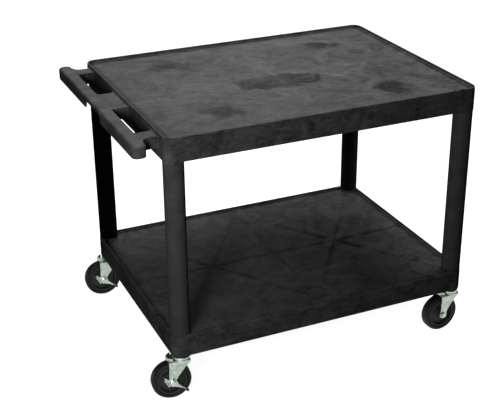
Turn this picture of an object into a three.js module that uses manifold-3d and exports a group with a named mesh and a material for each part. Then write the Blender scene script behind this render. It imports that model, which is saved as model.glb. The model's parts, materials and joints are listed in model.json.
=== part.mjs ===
// Two-shelf service trolley: two moulded shelves on four round legs, four swivel casters.
// Millimetres. +X points away from the push handle, +Y to the left of someone pushing, +Z up.
// The origin is on the floor, under the middle of the trolley's overall length and width.

import * as THREE from 'three';
import { mergeVertices } from 'three/addons/utils/BufferGeometryUtils.js';
import Module from 'manifold-3d';

const wasm = await Module();
wasm.setup();

// ---- Driving dimensions -------------------------------------------------------------------

const gap = 0.3;                      // clearance left between touching pieces

const shelf = {
  length: 812.8,                      // outside, along X
  width: 609.6,                       // outside, along Y
  corner: 25.4,                       // plan radius of the corners
  wall: 6,                            // skirt thickness
  rim: 5,                             // width of the raised lip's top
  lip: 6.4,                           // height of the lip above the deck
  deck: 6,                            // deck thickness
  rib: 4,                             // rib thickness
  ribDepth: 8,                        // how far the ribs hang below the deck
  crossSetback: 36,                   // from the end walls to the diagonal ribs' corners
};

const upperSkirt = 59.3;              // height of the top shelf's skirt, lip included
const lowerSkirt = 56;                // the same for the bottom shelf
const bayHeight = 446;                // free height between bottom rim and top skirt

const leg = {
  radius: 24.5,                       // outside radius of the tube
  bore: 15.5,                         // inside radius of the tube
  spigot: 19.5,                       // radius of the reduced ends
  upperSpigot: 40,                    // length of the end held by the top shelf
  lowerSpigot: 26,                    // length of the end held by the bottom shelf
};

const socket = {
  inset: 25.4,                        // leg centre from the shelf's outer faces
  wall: 5.2,                          // material around the leg's spigot
  upperCollar: 5,                     // collar below the top skirt
  lowerCollar: 3,                     // collar below the bottom skirt
  web: 3,                             // floor between the leg's and the caster's socket
};

const handle = {
  fingerGap: 39.5,                    // clear space between the end wall and the grip
  grip: 33.5,                         // width of the grip bar
  halfLength: 303,                    // grip bar, from the middle to its end
  thickness: 10,                      // plate thickness of the bar and its arms
  depth: 29.5,                        // overall depth of the downturned edges
  edge: 5,                            // thickness of the downturned edge
  corner: 14,                         // plan radius of the bar's ends
  middleArm: 110,                     // width of the middle arm
  notch: 118,                         // gap in the grip's outer edge beside the middle arm
  endArmInner: 222,                   // end arm's inner side from the middle
  endArmOuter: 260,                   // end arm's outer side from the middle
  blend: 18,                          // radius between an end arm and the bar
};

const wheel = {
  radius: 50,
  width: 30,                          // tread width
  shoulder: 8,                        // rounding of the tread's edges
  tyre: 12,                           // thickness of the rubber tread
  ease: 2,                            // slope of the tread's inner edges
  sideClearance: 0.7,                 // between the hub's ends and the fork
  hubRadius: 13,
  rimWall: 5,                         // rim of the core, under the tread
  rimSetback: 1.5,                    // rim's sides inside the tread's sides
  disc: 9,                            // thickness of the core's disc
  bore: 7.3,                          // hub bore
  segments: 24,
};

const axle = {
  radius: 4,
  sleeve: 7,                          // outside radius of the hub's sleeve
  headAcross: 13,                     // bolt head and nut, across the flats
  headHeight: 4.5,
  nutHeight: 5.5,
  protrusion: 2,                      // bolt's end beyond the nut
};

const fork = {
  sheet: 2.5,                         // plate thickness
  inside: 35.4,                       // clear width between the legs
  bend: 6,                            // outside radius of the bends
  trail: 27,                          // axle behind the swivel axis
  end: 10.5,                          // radius of the rounded lower end
  heel: 7.5,                          // legs' rear edge behind the axle, at the crown
  waist: 10,                          // front edge where it narrows, before the swivel axis
  waistDrop: 13,                      // how far below the crown it narrows
  brow: 19.2,                         // legs' front edge at the crown
  crown: 22,                          // radius of the crown
  clearance: 5.5,                     // from the tyre to the crown's underside
  tail: 37.5,                         // crown's reach behind the swivel axis
  tailRadius: 17,
  rim: 6.5,                           // height of the upturned rim at the tail
};

const stem = {
  radius: 5.5,
  head: 8.5,                          // radius of the peened head below the crown
  headHeight: 2.2,
  sleeve: 8.5,                        // outside radius of the socket sleeve
  flange: 13,                         // radius of the sleeve's flange
  flangeHeight: 1.6,
  setback: 1,                         // stem's top below the sleeve's top
};

const race = {
  radius: 24,                         // upper raceway
  plate: 2.43,                        // thickness of its top
  lip: 2,                             // thickness of its downturned lip
  ballCircle: 16,
  ball: 2.6,                          // radius of the caged balls
  balls: 8,
  cage: 2.4,                          // width of the ball cage's ring
  cageHeight: 1.2,
};

const brake = {
  sheet: 2.2,                         // thickness of the plate and its flanges
  bodyRadius: 10.5,                   // rounded body around the axle
  flange: 8,                          // how far the flanges stand out from the plate
  frontAngle: -43,                    // front flange, degrees above the horizontal
  frontStart: 9,                      // from the axle, along the front flange
  frontReach: 41,
  frontOffset: 6,                     // front flange's lower face beside the axle's centre
  rearAngle: 120,                     // rear flange, which runs up and back
  rearStart: 2,
  rearReach: 26,
  rearOffset: 10.5,                   // rear flange's inner face from the axle's centre
  rearWidth: 5.6,                     // plate beside the rear flange, at its end
  sole: [[20, -0.5], [33, 4]],        // plate's lower edge, along and beside the front flange
  tip: 8,                             // length of the dipped tip
  tipWall: 1.2,
  tipClearance: 0.5,                  // between the tip and the plate
};

// Degrees that each caster has swung about its stem where the trolley stands.
const corners = [
  { name: 'rear_right', x: -1, y: -1, swing: -6, braked: true },
  { name: 'rear_left', x: -1, y: 1, swing: -4, braked: true },
  { name: 'front_right', x: 1, y: -1, swing: 4, braked: false },
  { name: 'front_left', x: 1, y: 1, swing: 2, braked: false },
];

// ---- Places worked out from them ----------------------------------------------------------

const handleReach = handle.fingerGap + handle.grip;
const shelfCentre = handleReach / 2;
const legX = shelf.length / 2 - socket.inset;
const legY = shelf.width / 2 - socket.inset;
const bossRadius = leg.spigot + gap + socket.wall;
const axleHeight = wheel.radius * Math.cos(Math.PI / wheel.segments);
const crownBase = axleHeight + wheel.radius + fork.clearance;
const crownTop = crownBase + fork.sheet;
const raceTop = crownTop + 2 * race.ball + gap + race.plate;
const lowerBase = raceTop + gap + stem.flangeHeight + gap + socket.lowerCollar;
const lowerTop = lowerBase + lowerSkirt;
const upperBase = lowerTop + bayHeight;
const socketBase = lowerBase - socket.lowerCollar;
const forkOutside = fork.inside / 2 + fork.sheet;
const sleeveLength = lowerSkirt + socket.lowerCollar - leg.lowerSpigot - socket.web - 2 * gap;

// ---- Materials ----------------------------------------------------------------------------

const finish = (color, roughness, metalness) => {
  return () => new THREE.MeshStandardMaterial({ color, roughness, metalness });
};
const foamPlastic = finish(0x2b2c2d, 0.6, 0);
const zincPlate = finish(0xc9cec8, 0.35, 1);
const rubber = finish(0x1d1e1e, 0.8, 0);
const corePlastic = finish(0x2a2b2b, 0.5, 0);
const nylon = finish(0xd8d6cc, 0.5, 0);

// ---- Solids -------------------------------------------------------------------------------

// A closed three.js geometry as a solid that can be joined and cut.
function solid(geometry) {
  const bare = geometry.clone();
  bare.deleteAttribute('normal');
  bare.deleteAttribute('uv');
  const merged = mergeVertices(bare, 1e-4);
  const corner = merged.index.array;
  const kept = [];
  for (let i = 0; i < corner.length; i += 3) {
    const [a, b, c] = [corner[i], corner[i + 1], corner[i + 2]];
    if (a !== b && b !== c && c !== a) kept.push(a, b, c);
  }
  const vertProperties = new Float32Array(merged.attributes.position.array);
  const triVerts = new Uint32Array(kept);
  return new wasm.Manifold(new wasm.Mesh({ numProp: 3, vertProperties, triVerts }));
}

function geometryOf(body) {
  const { vertProperties, triVerts } = body.getMesh();
  const geometry = new THREE.BufferGeometry();
  geometry.setAttribute('position', new THREE.BufferAttribute(new Float32Array(vertProperties), 3));
  geometry.setIndex(new THREE.BufferAttribute(new Uint32Array(triVerts), 1));
  geometry.computeVertexNormals();
  return geometry;
}

const join = (...bodies) => bodies.reduce((whole, body) => whole.add(body));
const cut = (whole, ...tools) => tools.reduce((left, tool) => left.subtract(tool), whole);

// A prism of a plan outline, standing from z = base.
function prism(outline, height, base = 0, curveSegments = 3) {
  const options = { depth: height, bevelEnabled: false, curveSegments };
  return solid(new THREE.ExtrudeGeometry(outline, options).translate(0, 0, base));
}

// A prism of an outline drawn in X and Z, centred on y = 0 or running from y = start.
function sidePrism(outline, width, start = -width / 2, curveSegments = 4) {
  const options = { depth: width, bevelEnabled: false, curveSegments };
  const geometry = new THREE.ExtrudeGeometry(outline, options);
  return solid(geometry.rotateX(Math.PI / 2).translate(0, start + width, 0));
}

// A prism of an outline drawn in Y and Z, running from x = start.
function endPrism(outline, length, start) {
  const options = { depth: length, bevelEnabled: false, curveSegments: 2 };
  const geometry = new THREE.ExtrudeGeometry(outline, options);
  return solid(geometry.rotateX(Math.PI / 2).rotateZ(Math.PI / 2).translate(start, 0, 0));
}

function box(size, centre) {
  return solid(new THREE.BoxGeometry(...size).translate(...centre));
}

// A solid of revolution about Z from [radius, height] pairs.
function turned(profile, segments = 20) {
  const points = profile.map(([radius, height]) => new THREE.Vector2(radius, height));
  return solid(new THREE.LatheGeometry(points, segments).rotateX(Math.PI / 2));
}

function ring(inner, outer, base, top, segments = 20) {
  return turned([[inner, base], [outer, base], [outer, top], [inner, top], [inner, base]], segments);
}

function rod(radius, base, top, segments = 20) {
  return turned([[0, base], [radius, base], [radius, top], [0, top]], segments);
}

// A rod along Y.
function crossRod(radius, start, end, x, z, segments = 12) {
  return rod(radius, start, end, segments).rotate([-90, 0, 0]).translate([x, 0, z]);
}

function roundedRectangle(length, width, radius, x = 0, y = 0) {
  const outline = new THREE.Shape();
  const [a, b] = [length / 2 - radius, width / 2 - radius];
  outline.absarc(x + a, y + b, radius, 0, Math.PI / 2);
  outline.absarc(x - a, y + b, radius, Math.PI / 2, Math.PI);
  outline.absarc(x - a, y - b, radius, Math.PI, 1.5 * Math.PI);
  outline.absarc(x + a, y - b, radius, 1.5 * Math.PI, 2 * Math.PI);
  outline.closePath();
  return outline;
}

function polygon(points) {
  return new THREE.Shape(points.map(([x, y]) => new THREE.Vector2(x, y)));
}

// ---- Shelves ------------------------------------------------------------------------------

const atCorners = (make) => corners.map(({ x, y }) => make(x * legX, y * legY));

// A shelf standing on z = 0: deck, lip, skirt and the ribs under the deck.
function tray(skirt) {
  const { length, width, corner, wall, rim, lip, deck } = shelf;
  const plan = (inset) => roundedRectangle(length - 2 * inset, width - 2 * inset, corner - inset);
  const deckTop = skirt - lip;
  const deckBase = deckTop - deck;
  const shell = cut(
    prism(plan(0), skirt),
    prism(plan(rim), lip + 1, deckTop),
    prism(plan(wall), deckBase + 1, -1),
  );
  return join(shell, ...ribs(deckBase));
}

// One rib along X, one across the middle, and a diagonal cross in each half.
function ribs(deckBase) {
  const { length, width, wall, rib, ribDepth, crossSetback } = shelf;
  const height = ribDepth + 1;
  const middle = deckBase - ribDepth + height / 2;
  const [insideX, insideY] = [length - wall, width - wall];
  const crossX = insideX / 2 - crossSetback;
  const crossY = insideY - 2 * crossSetback;
  const diagonal = Math.hypot(crossX, crossY);
  const slope = Math.atan2(crossY, crossX);
  const lines = [
    box([insideX, rib, height], [0, 0, middle]),
    box([rib, insideY, height], [0, 0, middle]),
  ];
  for (const side of [-1, 1]) {
    for (const turn of [-1, 1]) {
      const bar = new THREE.BoxGeometry(diagonal, rib, height);
      lines.push(solid(bar.rotateZ(turn * slope).translate(side * crossX / 2, 0, middle)));
    }
  }
  return lines;
}

// Grip bar and its three channel-shaped arms, standing out from the end wall; top is the upper face.
function pushHandle(top) {
  const { fingerGap, grip, halfLength, thickness, depth, edge, corner } = handle;
  const { middleArm, notch, endArmInner, endArmOuter, blend } = handle;
  const wallX = -shelf.length / 2;
  const barX = wallX - fingerGap - grip / 2;
  const bar = roundedRectangle(grip, 2 * halfLength, corner, barX, 0);
  const inner = roundedRectangle(grip - 2 * edge, 2 * (halfLength - edge), corner - edge, barX, 0);
  const plate = prism(bar, thickness, top - thickness);
  const skirtHeight = depth - thickness + 1;
  const skirt = cut(
    prism(bar, skirtHeight, top - depth),
    prism(inner, skirtHeight + 2, top - depth - 1),
    box([grip + 2, middleArm - 2 * edge, skirtHeight], [barX, 0, top - thickness - skirtHeight / 2]),
    box([2 * edge, notch, skirtHeight], [barX - grip / 2, 0, top - thickness - skirtHeight / 2]),
  );
  const armLength = fingerGap + 2;
  const armX = wallX + 1 - armLength / 2;
  const armWidth = endArmOuter - endArmInner;
  const armMiddle = (endArmInner + endArmOuter) / 2;
  const channel = (y, width) => {
    const edges = cut(
      box([armLength, width, skirtHeight], [armX, y, top - depth + skirtHeight / 2]),
      box([armLength + 2, width - 2 * edge, skirtHeight + 2], [armX, y, top - depth + skirtHeight / 2]),
    );
    return join(box([armLength, width, thickness], [armX, y, top - thickness / 2]), edges);
  };
  const arms = [channel(0, middleArm), channel(armMiddle, armWidth), channel(-armMiddle, armWidth)];
  const gussets = [-1, 1].map((side) => {
    const gusset = new THREE.Shape();
    const [x, y] = [wallX - fingerGap, side * endArmOuter];
    gusset.moveTo(x - 1, y - side);
    gusset.lineTo(x + blend, y - side);
    gusset.lineTo(x + blend, y);
    gusset.quadraticCurveTo(x, y, x, y + side * blend);
    gusset.lineTo(x - 1, y + side * blend);
    gusset.closePath();
    return prism(gusset, depth, top - depth);
  });
  return join(plate, skirt, ...arms, ...gussets);
}

function topShelf() {
  const deckBase = upperSkirt - shelf.lip - shelf.deck;
  const collar = -socket.upperCollar;
  const boreTop = collar + leg.upperSpigot + gap;
  const bosses = atCorners((x, y) => rod(bossRadius, collar, deckBase + 1).translate([x, y, 0]));
  const bores = atCorners((x, y) => rod(leg.spigot + gap, collar - 1, boreTop).translate([x, y, 0]));
  const body = join(tray(upperSkirt), ...bosses, pushHandle(upperSkirt - shelf.lip));
  return cut(body, ...bores);
}

function bottomShelf() {
  const collar = -socket.lowerCollar;
  const legFloor = lowerSkirt - leg.lowerSpigot - gap;
  const sleeveTop = collar + sleeveLength + gap;
  const bosses = atCorners((x, y) => rod(bossRadius, collar, lowerSkirt).translate([x, y, 0]));
  const legBores = atCorners((x, y) => {
    return rod(leg.spigot + gap, legFloor, lowerSkirt + 1).translate([x, y, 0]);
  });
  const stemBores = atCorners((x, y) => {
    return rod(stem.sleeve + gap, collar - 1, sleeveTop).translate([x, y, 0]);
  });
  return cut(join(tray(lowerSkirt), ...bosses), ...legBores, ...stemBores);
}

// A tube with a reduced spigot at each end, standing where the trolley needs it.
function legTube() {
  const { radius, bore, spigot, upperSpigot, lowerSpigot } = leg;
  const foot = lowerTop + gap;
  const shoulder = upperBase - socket.upperCollar - gap;
  const bottom = lowerTop - lowerSpigot;
  const top = shoulder + upperSpigot - gap;
  return turned([
    [bore, bottom], [spigot, bottom], [spigot, foot], [radius, foot],
    [radius, shoulder], [spigot, shoulder], [spigot, top], [bore, top], [bore, bottom],
  ]);
}

// ---- Caster, with its swivel axis on z and its wheel towards -X ----------------------------

// Sleeve pressed into the bottom shelf's socket, with a flange under the collar.
function socketSleeve() {
  const { radius, sleeve, flange, flangeHeight } = stem;
  const flangeTop = socketBase - gap;
  const bottom = flangeTop - flangeHeight;
  const inner = radius + gap;
  return turned([
    [inner, bottom], [flange, bottom], [flange, flangeTop], [sleeve, flangeTop],
    [sleeve, socketBase + sleeveLength], [inner, socketBase + sleeveLength], [inner, bottom],
  ], 12);
}

// Stem that carries the caster, peened over below the fork's crown.
function casterStem() {
  const { radius, head, headHeight } = stem;
  const headTop = crownBase - gap;
  const top = socketBase + sleeveLength - stem.setback;
  return turned([
    [0, headTop - headHeight], [head, headTop - headHeight], [head, headTop],
    [radius, headTop], [radius, top], [0, top],
  ], 12);
}

// Pressed dish that the balls run in; it stays still with the stem.
function upperRace() {
  const top = raceTop;
  const base = raceTop - race.plate;
  const lower = crownTop + race.ball;
  const { radius } = race;
  const inner = stem.radius + gap;
  const lip = radius - race.lip;
  return turned([
    [inner, base], [lip, base], [lip, lower], [radius, lower],
    [radius, top], [inner, top], [inner, base],
  ]);
}

// Caged balls between the crown and the upper race, as one ring.
function ballRing() {
  const z = crownTop + race.ball;
  const [halfWidth, halfHeight] = [race.cage / 2, race.cageHeight / 2];
  const inner = race.ballCircle - halfWidth;
  const outer = race.ballCircle + halfWidth;
  const cage = ring(inner, outer, z - halfHeight, z + halfHeight, 12);
  const balls = Array.from({ length: race.balls }, (_, i) => {
    const angle = (2 * Math.PI * i) / race.balls;
    const ball = new THREE.IcosahedronGeometry(race.ball - gap);
    return solid(ball.translate(race.ballCircle * Math.cos(angle), race.ballCircle * Math.sin(angle), z));
  });
  return join(cage, ...balls);
}

// Bent plate fork: an arch across the wheel, trimmed to the side outline of its legs.
function forkPlate() {
  const { sheet, inside, bend, trail, end, heel, waist, waistDrop, brow } = fork;
  const { crown, tail, tailRadius, rim } = fork;
  const arch = (halfWidth, top, radius) => {
    const outline = new THREE.Shape();
    outline.moveTo(-halfWidth, 0);
    outline.lineTo(halfWidth, 0);
    outline.lineTo(halfWidth, top - radius);
    outline.absarc(halfWidth - radius, top - radius, radius, 0, Math.PI / 2);
    outline.lineTo(radius - halfWidth, top);
    outline.absarc(radius - halfWidth, top - radius, radius, Math.PI / 2, Math.PI);
    outline.closePath();
    return outline;
  };
  const reach = 3 * tail;
  const bent = cut(
    endPrism(arch(forkOutside, crownTop, bend), reach, -reach / 2),
    endPrism(arch(inside / 2, crownBase, bend - sheet), reach + 2, -reach / 2 - 1),
  );
  const side = new THREE.Shape();
  side.moveTo(-trail - end, axleHeight);
  side.absarc(-trail, axleHeight, end, Math.PI, 2 * Math.PI + Math.PI / 5);
  side.lineTo(waist, crownBase - waistDrop);
  side.lineTo(brow, crownBase);
  side.lineTo(brow, crownTop + 1);
  side.lineTo(-trail - heel, crownTop + 1);
  side.closePath();
  const legs = bent.intersect(sidePrism(side, 2 * forkOutside + 2));
  const tailX = tailRadius - tail;
  const pan = join(
    rod(crown, crownBase, crownTop),
    rod(tailRadius, crownBase, crownTop).translate([tailX, 0, 0]),
  );
  const rimTop = crownTop + rim;
  const rimBand = ring(tailRadius - sheet, tailRadius, crownBase, rimTop).translate([tailX, 0, 0]);
  const front = box([2 * tail, 4 * tail, 4 * rim], [tail - race.radius - gap, 0, crownTop]);
  const tailRim = cut(rimBand, front);
  const body = join(legs, pan, tailRim);
  return cut(
    body,
    rod(stem.radius + gap, crownBase - 1, crownTop + 1, 12),
    crossRod(axle.radius + gap, -forkOutside - 1, forkOutside + 1, -trail, axleHeight),
  );
}

// Rounded rubber tread about the Y axis, centred on the axle.
function tyreRing() {
  const { radius, width, shoulder, tyre, ease, segments } = wheel;
  const half = width / 2;
  const inner = radius - tyre;
  const profile = [[inner, -half + ease], [radius - shoulder, -half]];
  for (const angle of [-50, 0]) {
    const turn = THREE.MathUtils.degToRad(angle);
    const r = radius - shoulder + shoulder * Math.cos(turn);
    profile.push([r, -half + shoulder + shoulder * Math.sin(turn)]);
  }
  const mirrored = profile.map(([r, y]) => [r, -y]).reverse();
  return turned([...profile, ...mirrored, profile[0]], segments);
}

// Moulded core: rim under the tyre, thinner disc and a hub that fills the fork's gap.
function wheelCore() {
  const { radius, width, tyre, hubRadius, bore, rimWall, rimSetback, disc, segments } = wheel;
  const rimOuter = radius - tyre - gap;
  const rimInner = rimOuter - rimWall;
  const rimHalf = width / 2 - rimSetback;
  const discHalf = disc / 2;
  const hubHalf = fork.inside / 2 - wheel.sideClearance;
  const half = [
    [bore, -hubHalf], [hubRadius, -hubHalf], [hubRadius, -discHalf],
    [rimInner, -discHalf], [rimInner, -rimHalf], [rimOuter, -rimHalf],
  ];
  const mirrored = half.map(([r, y]) => [r, -y]).reverse();
  return turned([...half, ...mirrored, half[0]], segments);
}

function axleSleeve() {
  const half = fork.inside / 2 - gap;
  return ring(axle.radius + gap, axle.sleeve, -half, half, 12);
}

function hexagon(across, base, height) {
  const radius = across / Math.sqrt(3);
  return solid(new THREE.CylinderGeometry(radius, radius, height, 6)
    .rotateX(Math.PI / 2).translate(0, 0, base + height / 2));
}

// Bolt with its head on the -Y side; braked casters leave room for the lever under the head.
function axleBolt(leverRoom) {
  const head = -forkOutside - leverRoom - gap;
  const end = forkOutside + gap + axle.nutHeight + axle.protrusion;
  return join(
    hexagon(axle.headAcross, head - axle.headHeight, axle.headHeight),
    rod(axle.radius, head - 1, end, 12),
  );
}

function axleNut() {
  const base = forkOutside + gap;
  return cut(
    hexagon(axle.headAcross, base, axle.nutHeight),
    rod(axle.radius + gap, base - 1, base + axle.nutHeight + 1, 12),
  );
}

// ---- Brake lever, about the axle, drawn in X and Z, outside the fork's -Y leg ---------------

const radians = THREE.MathUtils.degToRad;
const leverBack = -forkOutside - gap;
const leverFace = leverBack - brake.sheet;

// A point along a line through the axle's centre, and beside it.
function onLine(degrees, along, beside) {
  const [c, s] = [Math.cos(radians(degrees)), Math.sin(radians(degrees))];
  return [along * c - beside * s, along * s + beside * c];
}

// A straight bar along such a line, from y = start.
function lineBar(degrees, [from, to], [low, high], width, start) {
  const corner = [[from, low], [to, low], [to, high], [from, high]];
  const outline = polygon(corner.map(([along, beside]) => onLine(degrees, along, beside)));
  return sidePrism(outline, width, start);
}

function brakeLever() {
  const { sheet, bodyRadius, flange, frontAngle, frontStart, frontReach, frontOffset } = brake;
  const { rearAngle, rearStart, rearReach, rearOffset, rearWidth, sole } = brake;
  const frontTop = frontOffset + sheet;
  const rearOuter = rearOffset + sheet;
  const plate = polygon([
    onLine(rearAngle, rearReach, rearOuter),
    onLine(rearAngle, rearStart, rearOuter),
    ...sole.map(([along, beside]) => onLine(frontAngle, along, beside)),
    onLine(frontAngle, frontReach, frontOffset),
    onLine(frontAngle, frontReach, frontTop),
    onLine(frontAngle, frontStart, frontTop),
    [0, 0],
    onLine(rearAngle, rearReach, rearOuter - rearWidth),
  ]);
  const depth = flange + sheet;
  const start = leverFace - flange;
  const lever = join(
    sidePrism(plate, sheet, leverFace),
    crossRod(bodyRadius, leverFace, leverBack, 0, 0, 20),
    lineBar(frontAngle, [frontStart, frontReach], [frontOffset, frontTop], depth, start),
    lineBar(rearAngle, [rearStart, rearReach], [rearOffset, rearOuter], depth, start),
  );
  return cut(lever, crossRod(axle.radius + gap, leverFace - 1, leverBack + 1, 0, 0));
}

// Dipped sleeve over the end of the front flange.
function brakeTip() {
  const { sheet, flange, frontAngle, frontReach, frontOffset, tip, tipWall, tipClearance } = brake;
  const start = frontReach - tip;
  const around = gap + tipWall;
  const [low, high] = [frontOffset, frontOffset + sheet];
  const depth = flange - tipClearance;
  const outside = lineBar(
    frontAngle,
    [start, frontReach + around],
    [low - around, high + around],
    depth + around,
    leverFace - flange - around,
  );
  const pocket = lineBar(
    frontAngle,
    [start - 1, frontReach + gap],
    [low - gap, high + gap],
    depth + gap + 1,
    leverFace - flange - gap,
  );
  return cut(outside, pocket);
}

// ---- Assembly -----------------------------------------------------------------------------

function part(name, body, material) {
  const mesh = new THREE.Mesh(geometryOf(body), material());
  mesh.name = name;
  return mesh;
}

// Turns a piece modelled about Z so that it lies about Y.
function acrossWheel(mesh) {
  mesh.rotation.x = -Math.PI / 2;
  return mesh;
}

function caster({ name, x, y, swing, braked }) {
  const group = new THREE.Group();
  group.position.set(x * legX, y * legY, 0);
  group.rotation.z = radians(swing);
  group.add(part(`socket_sleeve_${name}`, socketSleeve(), nylon));
  group.add(part(`caster_stem_${name}`, casterStem(), zincPlate));
  group.add(part(`upper_race_${name}`, upperRace(), zincPlate));
  group.add(part(`ball_ring_${name}`, ballRing(), zincPlate));
  group.add(part(`fork_${name}`, forkPlate(), zincPlate));
  const hubGroup = new THREE.Group();
  hubGroup.position.set(-fork.trail, 0, axleHeight);
  const leverRoom = braked ? brake.sheet + gap : 0;
  const facetDown = [0, 0, 180 / wheel.segments];
  hubGroup.add(acrossWheel(part(`tyre_${name}`, tyreRing().rotate(facetDown), rubber)));
  hubGroup.add(acrossWheel(part(`wheel_core_${name}`, wheelCore().rotate(facetDown), corePlastic)));
  hubGroup.add(acrossWheel(part(`axle_sleeve_${name}`, axleSleeve(), zincPlate)));
  hubGroup.add(acrossWheel(part(`axle_bolt_${name}`, axleBolt(leverRoom), zincPlate)));
  hubGroup.add(acrossWheel(part(`axle_nut_${name}`, axleNut(), zincPlate)));
  if (braked) {
    hubGroup.add(part(`brake_lever_${name}`, brakeLever(), zincPlate));
    hubGroup.add(part(`brake_tip_${name}`, brakeTip(), rubber));
  }
  group.add(hubGroup);
  return group;
}

const trolley = new THREE.Group();
const structure = new THREE.Group();
structure.position.x = shelfCentre;

const upper = part('top_shelf', topShelf(), foamPlastic);
upper.position.z = upperBase;
const lower = part('bottom_shelf', bottomShelf(), foamPlastic);
lower.position.z = lowerBase;
structure.add(upper, lower);

for (const corner of corners) {
  const tube = part(`leg_${corner.name}`, legTube(), foamPlastic);
  tube.position.set(corner.x * legX, corner.y * legY, 0);
  structure.add(tube, caster(corner));
}
trolley.add(structure);

export default trolley;
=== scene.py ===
# %% [markdown]
# # A two-shelf service trolley
# The trolley is two shelves moulded in black structural foam, four round legs, and four zinc-plated
# swivel casters with rubber-tyred wheels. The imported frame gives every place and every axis. This
# lesson gives each piece its real edges, bends and surface, one short cell at a time.

# %% Load the frame
import json
import math
import bmesh
import bpy
from mathutils import Matrix, Vector

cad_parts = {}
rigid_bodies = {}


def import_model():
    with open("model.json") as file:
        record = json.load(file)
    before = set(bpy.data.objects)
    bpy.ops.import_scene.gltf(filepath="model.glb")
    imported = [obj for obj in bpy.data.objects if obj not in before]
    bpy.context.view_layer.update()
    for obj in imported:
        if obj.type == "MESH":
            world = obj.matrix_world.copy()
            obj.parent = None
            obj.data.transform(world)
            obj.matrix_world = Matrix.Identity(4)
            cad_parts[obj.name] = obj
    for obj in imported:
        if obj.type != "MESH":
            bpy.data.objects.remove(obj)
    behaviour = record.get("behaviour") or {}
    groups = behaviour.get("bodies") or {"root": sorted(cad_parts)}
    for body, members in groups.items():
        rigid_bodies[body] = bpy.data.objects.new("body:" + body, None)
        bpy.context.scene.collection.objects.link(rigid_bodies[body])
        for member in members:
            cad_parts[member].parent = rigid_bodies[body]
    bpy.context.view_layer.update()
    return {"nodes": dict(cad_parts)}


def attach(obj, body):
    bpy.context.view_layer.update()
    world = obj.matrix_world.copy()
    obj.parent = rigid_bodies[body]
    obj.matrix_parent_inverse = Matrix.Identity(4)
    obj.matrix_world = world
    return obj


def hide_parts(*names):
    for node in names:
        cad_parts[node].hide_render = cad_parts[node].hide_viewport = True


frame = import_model()
MM = 0.001

# %% [markdown]
# ## Camera, light and floor
# A long lens a few metres away keeps the shelves' edges almost parallel. One large soft panel hangs
# overhead, so the top deck reads as mid grey. A low panel behind reaches in under the top shelf and
# lights the lower deck. A small panel on the left lights the handle's end and the two near legs. The
# faces turned away from all three stay nearly black.

# %% Camera
LENS = 79.29
PLACE = (-1.09945, -2.39929, 1.57099)
TILT, ROLL, TURN = 64.403, 0.167, -24.601
SHIFT_X, SHIFT_Y = -0.0211, 0.0013


def add_camera():
    bpy.ops.object.camera_add(location=PLACE)
    camera = bpy.context.object
    camera.rotation_euler = [math.radians(angle) for angle in (TILT, ROLL, TURN)]
    camera.data.lens = LENS
    camera.data.shift_x = SHIFT_X
    camera.data.shift_y = SHIFT_Y
    camera.data.clip_end = 50
    bpy.context.scene.camera = camera


add_camera()

# %% Studio


def add_panel(name, place, aim, size, power):
    """A white rectangular area light at a place, turned towards what it is aimed at."""
    bpy.ops.object.light_add(type="AREA", location=place)
    light = bpy.context.object
    light.name = name
    light.data.shape = "RECTANGLE"
    light.data.size, light.data.size_y = size
    light.data.energy = power
    direction = Vector(aim) - Vector(place)
    light.rotation_euler = direction.to_track_quat("-Z", "Y").to_euler()
    return light


add_panel("overhead_panel", (0.5, 0.45, 2.6), (0.1, 0.1, 0.6), (2.2, 1.2), 104)
add_panel("back_panel", (0.4, 2.3, 1.35), (-0.1, 0.0, 0.3), (2.0, 0.5), 7.5)
left_panel = add_panel("left_panel", (-1.0, -1.15, 0.9), (-0.4, -0.3, 0.5), (0.25, 0.4), 15)

# %% [markdown]
# ## Helpers
# Colours are read as sRGB hex values, the way a paint chart gives them, and turned to linear once.
# One small function adds a shader node with its settings and its links, so every material below
# reads as a short recipe.

# %% Colour and node helpers


def linear(hex_colour):
    """A hex sRGB colour as linear RGBA."""
    values = [int(hex_colour[i:i + 2], 16) / 255 for i in (1, 3, 5)]
    bent = [v / 12.92 if v <= 0.04045 else ((v + 0.055) / 1.055) ** 2.4 for v in values]
    return (*bent, 1.0)


def add_node(tree, kind, settings=None, links=None, values=None):
    """Adds a node; settings are its properties, links feed its inputs, values fill its sockets."""
    node = tree.nodes.new(kind)
    for name, value in (settings or {}).items():
        setattr(node, name, value)
    for name, value in (values or {}).items():
        node.inputs[name].default_value = value
    for name, socket in (links or {}).items():
        tree.links.new(socket, node.inputs[name])
    return node


def new_material(name, **surface):
    """A Principled material; surface holds its plain socket values. Returns it with tree and shader."""
    material = bpy.data.materials.new(name)
    material.use_nodes = True
    tree = material.node_tree
    tree.nodes.clear()
    output = add_node(tree, "ShaderNodeOutputMaterial")
    values = {key.replace("_", " "): value for key, value in surface.items()}
    shader = add_node(tree, "ShaderNodeBsdfPrincipled", values=values)
    tree.links.new(shader.outputs["BSDF"], output.inputs["Surface"])
    return material, tree, shader


def ramp(tree, factor, low, high, start=0.0, end=1.0):
    """Blends two colours between two values of a factor."""
    node = add_node(tree, "ShaderNodeValToRGB", links={"Fac": factor})
    first, last = node.color_ramp.elements
    first.position, first.color = start, low
    last.position, last.color = end, high
    return node.outputs["Color"]


def spread(tree, factor, low, high, start, end):
    """Maps a factor between start and end to a number between low and high."""
    node = add_node(
        tree,
        "ShaderNodeMapRange",
        links={"Value": factor},
        values={"From Min": start, "From Max": end, "To Min": low, "To Max": high},
    )
    return node.outputs["Result"]


def noise(tree, place, size_mm, detail, roughness=0.5, distortion=0.0):
    """Noise whose features are about size_mm across."""
    values = {"Scale": 1000 / size_mm, "Detail": detail, "Roughness": roughness, "Distortion": distortion}
    node = add_node(tree, "ShaderNodeTexNoise", links={"Vector": place}, values=values)
    return node.outputs["Fac"]


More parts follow.
